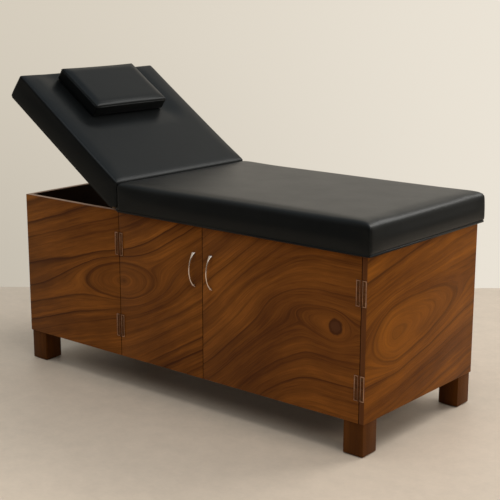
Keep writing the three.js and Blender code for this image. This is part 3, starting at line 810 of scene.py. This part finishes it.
def make_pillow(vinyl_finish):
    low, high = flat_box("pillow")
    low.x -= CUSHION_PROUD
    high.z += CUSHION_PROUD
    corners = [(low.x, low.z), (high.x, low.z), (high.x, high.z), (low.x, high.z)]
    mesh = mesh_of(prism(corners, low.y, high.y), "head_pillow")
    pillow = new_object("head_pillow", mesh, vinyl_finish)

    def shape(p):
        return softened(p, low, high, (PILLOW_EDGE,) * 3, (PILLOW_EDGE,) * 3)

    def held(p):
        return p[:, 2] < low.z + PILLOW_HELD
    stuffed(pillow, PILLOW_VOXEL, STUFFING, PILLOW_SWELL, held, shape)
    tree = tree_of(pillow)
    middle = (low + high) / 2
    half = (high - low) / 2
    height = high.z - PILLOW_EDGE
    path = []
    for k in range(PIPING_POINTS):
        turn = 2 * math.pi * k / PIPING_POINTS
        c, d = math.cos(turn), math.sin(turn)
        reach = (abs(c) ** PIPING_SQUARENESS + abs(d) ** PIPING_SQUARENESS) ** (-1 / PIPING_SQUARENESS)
        x, y = (half[k] * PIPING_AIM * turned * reach for k, turned in ((0, c), (1, d)))
        aim = Vector((middle.x + x, middle.y + y, height))
        way = Vector((half.x * c * reach, half.y * d * reach, 0)) * PIPING_AWAY
        path.append(surface_point(tree, aim + way, aim))
    piping = tube("pillow_piping", path, PIPING, vinyl_finish, sides=8, closed=True)
    piping.data.transform(TILTED)
    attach(piping, "pillow")
    pillow.data.transform(TILTED)
    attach(pillow, "pillow")
    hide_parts("pillow")


# ---- Handles, hinge rims and screws -------------------------------------------------------
HANDLE_THICK = 0.0048
HANDLE_GRIP = 0.0044  # the bow's width at its middle
HANDLE_FOOT = 0.0175
HANDLE_BOW = 0.82  # the reach of the bow's middle line, as a share of the CAD solid's
FLARE_POWER = 4  # the higher, the nearer its end the bow starts to widen
FOOT_THINNED = 0.35  # the share of its thickness that the bow loses at a foot
HINGE_PLATE = 0.002
HINGE_BARREL = 0.0035
RIM = 0.0011
SCREW = {"radius": 0.0033, "height": 0.0012, "slot": 0.00045, "spread": 0.032}
SLOT_TURNS = (0.7, 2.1)  # the first screw's slot, and the turn from one screw to the next


def oval_point(turn, wide, thick):
    """A point of a slightly squared oval round the origin."""
    c, d = math.cos(turn), math.sin(turn)
    return wide * math.copysign(abs(c) ** 0.8, c), thick * math.copysign(abs(d) ** 0.8, d)


def bow_handle(side, finish):
    """An arched grip between two flared feet on the door."""
    low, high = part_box(f"{side}_door_handle")
    middle, half = (low + high) / 2, (high.z - low.z) / 2
    rise = (high.y - low.y) * HANDLE_BOW
    radius = (half ** 2 + rise ** 2) / (2 * rise)
    sweep = math.asin(half / radius)
    stations, sides = 41, 16

    def build(work):
        rings = []
        for i in range(stations):
            along = 2 * i / (stations - 1) - 1
            turn = along * sweep
            out = radius * math.cos(turn) - radius + rise
            centre = Vector((middle.x, high.y - out, middle.z + radius * math.sin(turn)))
            outward = Vector((0, -math.cos(turn), math.sin(turn)))
            flare = abs(along) ** FLARE_POWER
            wide = HANDLE_GRIP / 2 + flare * (HANDLE_FOOT - HANDLE_GRIP) / 2
            thick = HANDLE_THICK / 2 * (1 - FOOT_THINNED * flare)
            ring = []
            for k in range(sides):
                across, up = oval_point(2 * math.pi * k / sides, wide, thick)
                place = centre + Vector((across, 0, 0)) + outward * up
                place.y = min(place.y, high.y)
                place.z = min(max(place.z, low.z), high.z)
                ring.append(work.verts.new(place))
            rings.append(ring)
        for a, b in zip(rings, rings[1:]):
            for k in range(sides):
                j = (k + 1) % sides
                work.faces.new((a[k], a[j], b[j], b[k]))
        work.faces.new(rings[0][::-1])
        work.faces.new(rings[-1])
    name = f"{side}_bow_handle"
    handle = new_object(name, mesh_of(build, name), finish)
    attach(handle, f"{side}_door")
    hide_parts(f"{side}_door_handle")


def screw_heads(name, centres, finish):
    """Slotted dome heads facing -Y, each of two half domes on either side of its slot."""
    dome = ((1, 0), (0.9, 0.45), (0.65, 0.8), (0.3, 1))
    rings = [(SCREW["radius"] * r, SCREW["height"] * h) for r, h in dome]
    steps = 10

    def build(work):
        for n, centre in enumerate(centres):
            slot_turn = SLOT_TURNS[0] + SLOT_TURNS[1] * n
            for half in (0, math.pi):
                cut_way = slot_turn + half
                shift = Vector((math.cos(cut_way), 0, math.sin(cut_way))) * SCREW["slot"]
                rows = []
                for radius, height in rings:
                    turns = [cut_way + math.pi * (k / steps - 0.5) for k in range(steps + 1)]
                    places = [Vector((radius * math.cos(t), -height, radius * math.sin(t))) for t in turns]
                    rows.append([work.verts.new(centre + shift + place) for place in places])
                for a, b in zip(rows, rows[1:]):
                    for k in range(steps):
                        work.faces.new((a[k], a[k + 1], b[k + 1], b[k]))
                work.faces.new(rows[-1])
                work.faces.new(rows[0][::-1])
                work.faces.new([row[0] for row in rows] + [row[-1] for row in rows[::-1]])
    return new_object(name, mesh_of(build, name), finish)


def leaf_details(side, level, part, body, rim_finish, screw_finish):
    """The worn bright rim round a door hinge's leaf, and its three screws."""
    leaf = f"{side}_door_{level}_hinge_{part}"
    low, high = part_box(leaf)
    pin = joint(f"{side}_door_hinge")["pos_m"][0]
    far = low.x if pin - low.x > high.x - pin else high.x
    away = math.copysign(1, far - pin)
    front = high.y - HINGE_PLATE
    x = (pin + away * (HINGE_BARREL + RIM), far - away * RIM)
    z = (low.z + RIM, high.z - RIM)
    loop = []
    for i, j in ((0, 0), (1, 0), (1, 1), (0, 1)):
        ends = [(x[i], z[j] - math.copysign(RIM, j - 0.5)), (x[i] - away * math.copysign(RIM, i - 0.5), z[j])]
        loop += ends if i != j else ends[::-1]
    rim = tube(f"{leaf}_rim", [(u, front, v) for u, v in loop], RIM, rim_finish, sides=8, closed=True)
    middle, centre = sum(x) / 2, (low.z + high.z) / 2
    places = [Vector((middle, front, centre + k * SCREW["spread"])) for k in (-1, 0, 1)]
    screws = screw_heads(f"{leaf}_screws", places, screw_finish)
    for made in (rim, screws):
        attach(made, body)


# ---- Stage --------------------------------------------------------------------------------
def make_floor(forward, right):
    camera = Vector(CAMERA["place"])
    end = Vector((camera.x, camera.y, 0)) + forward * FLOOR_END
    near = end - forward * FLOOR_REACH
    aside = right * FLOOR_REACH
    corners = [near - aside, near + aside, end + aside, end - aside]

    def build(work):
        work.faces.new([work.verts.new(c) for c in corners])
    s = Shader("floor", Roughness=0.55)
    cloud = s.noise(s.object, 1.7, 4, 0.6)
    mottle = s.noise(s.object, 14, 4, 0.65)
    speck = s.noise(s.object, 60, 3, 0.6)
    tone = s.math("MULTIPLY_ADD", mottle, 0.5, s.math("MULTIPLY", cloud, 0.25))
    tone = s.math("MULTIPLY_ADD", speck, 0.25, tone)
    shade = s.mix(tone, tuple(c * 0.78 for c in FLOOR_COLOUR), tuple(c * 1.2 for c in FLOOR_COLOUR))
    s.set(Base_Color=shade)
    floor = new_object("floor", mesh_of(build, "floor"), s.material)


def make_world(forward, right):
    world = bpy.data.worlds.new("studio")
    world.use_nodes = True
    bpy.context.scene.world = world
    tree = world.node_tree
    direction = tree.nodes.new("ShaderNodeTexCoord").outputs["Generated"]

    def towards(axis, low, high):
        dot = tree.nodes.new("ShaderNodeVectorMath")
        dot.operation = "DOT_PRODUCT"
        tree.links.new(direction, dot.inputs[0])
        dot.inputs[1].default_value = axis
        share = tree.nodes.new("ShaderNodeMapRange")
        share.interpolation_type = "SMOOTHSTEP"
        tree.links.new(dot.outputs["Value"], share.inputs[0])
        share.inputs[1].default_value, share.inputs[2].default_value = low, high
        return share.outputs[0]

    def mixed(share, a, b):
        mix = tree.nodes.new("ShaderNodeMix")
        mix.data_type = "RGBA"
        tree.links.new(share, mix.inputs[0])
        for key, value in ((6, a), (7, b)):
            if isinstance(value, tuple):
                mix.inputs[key].default_value = (*value, 1)
            else:
                tree.links.new(value, mix.inputs[key])
        return mix.outputs[2]

    wall = mixed(towards(right, -0.3, 0.3), BACKGROUND_LEFT, BACKGROUND_RIGHT)
    around = mixed(towards(forward, -0.35, 0.6), BACKGROUND_NEAR, wall)
    room = mixed(towards(Vector((0, 0, 1)), 0.5, 0.95), around, BACKGROUND_ABOVE)
    room = mixed(towards(Vector((0, 0, 1)), -0.12, 0.1), BACKGROUND_LOW, room)
    seen = tree.nodes.new("ShaderNodeLightPath").outputs["Is Camera Ray"]
    # Seen by the camera, the wall is darker low on the left: painted shade.
    shaded_low_wall = mixed(towards(right, -0.3, 0.3), tuple(0.8 * c for c in BACKGROUND_LEFT), BACKGROUND_RIGHT)
    backdrop = mixed(towards(Vector((0, 0, 1)), -0.3, 0), shaded_low_wall, wall)
    tree.links.new(mixed(seen, room, backdrop), tree.nodes["Background"].inputs["Color"])


# ---- Assembly -----------------------------------------------------------------------------
bpy.context.scene.view_settings.view_transform = "Standard"
forward, right = make_camera()
make_world(forward, right)
make_lights()
make_floor(forward, right)
finishes = make_materials()
finish_cad_nodes(finishes)
make_seat(finishes["vinyl"])
make_backrest(finishes["vinyl"])
make_pillow(finishes["vinyl"])
for side in ("left", "right"):
    bow_handle(side, finishes["nickel"])
    for level in ("lower", "upper"):
        for part, body in (("frame_leaf", "cabinet"), ("door_leaf", f"{side}_door")):
            leaf_details(side, level, part, body, finishes["worn_brass"], finishes["screw_bronze"])
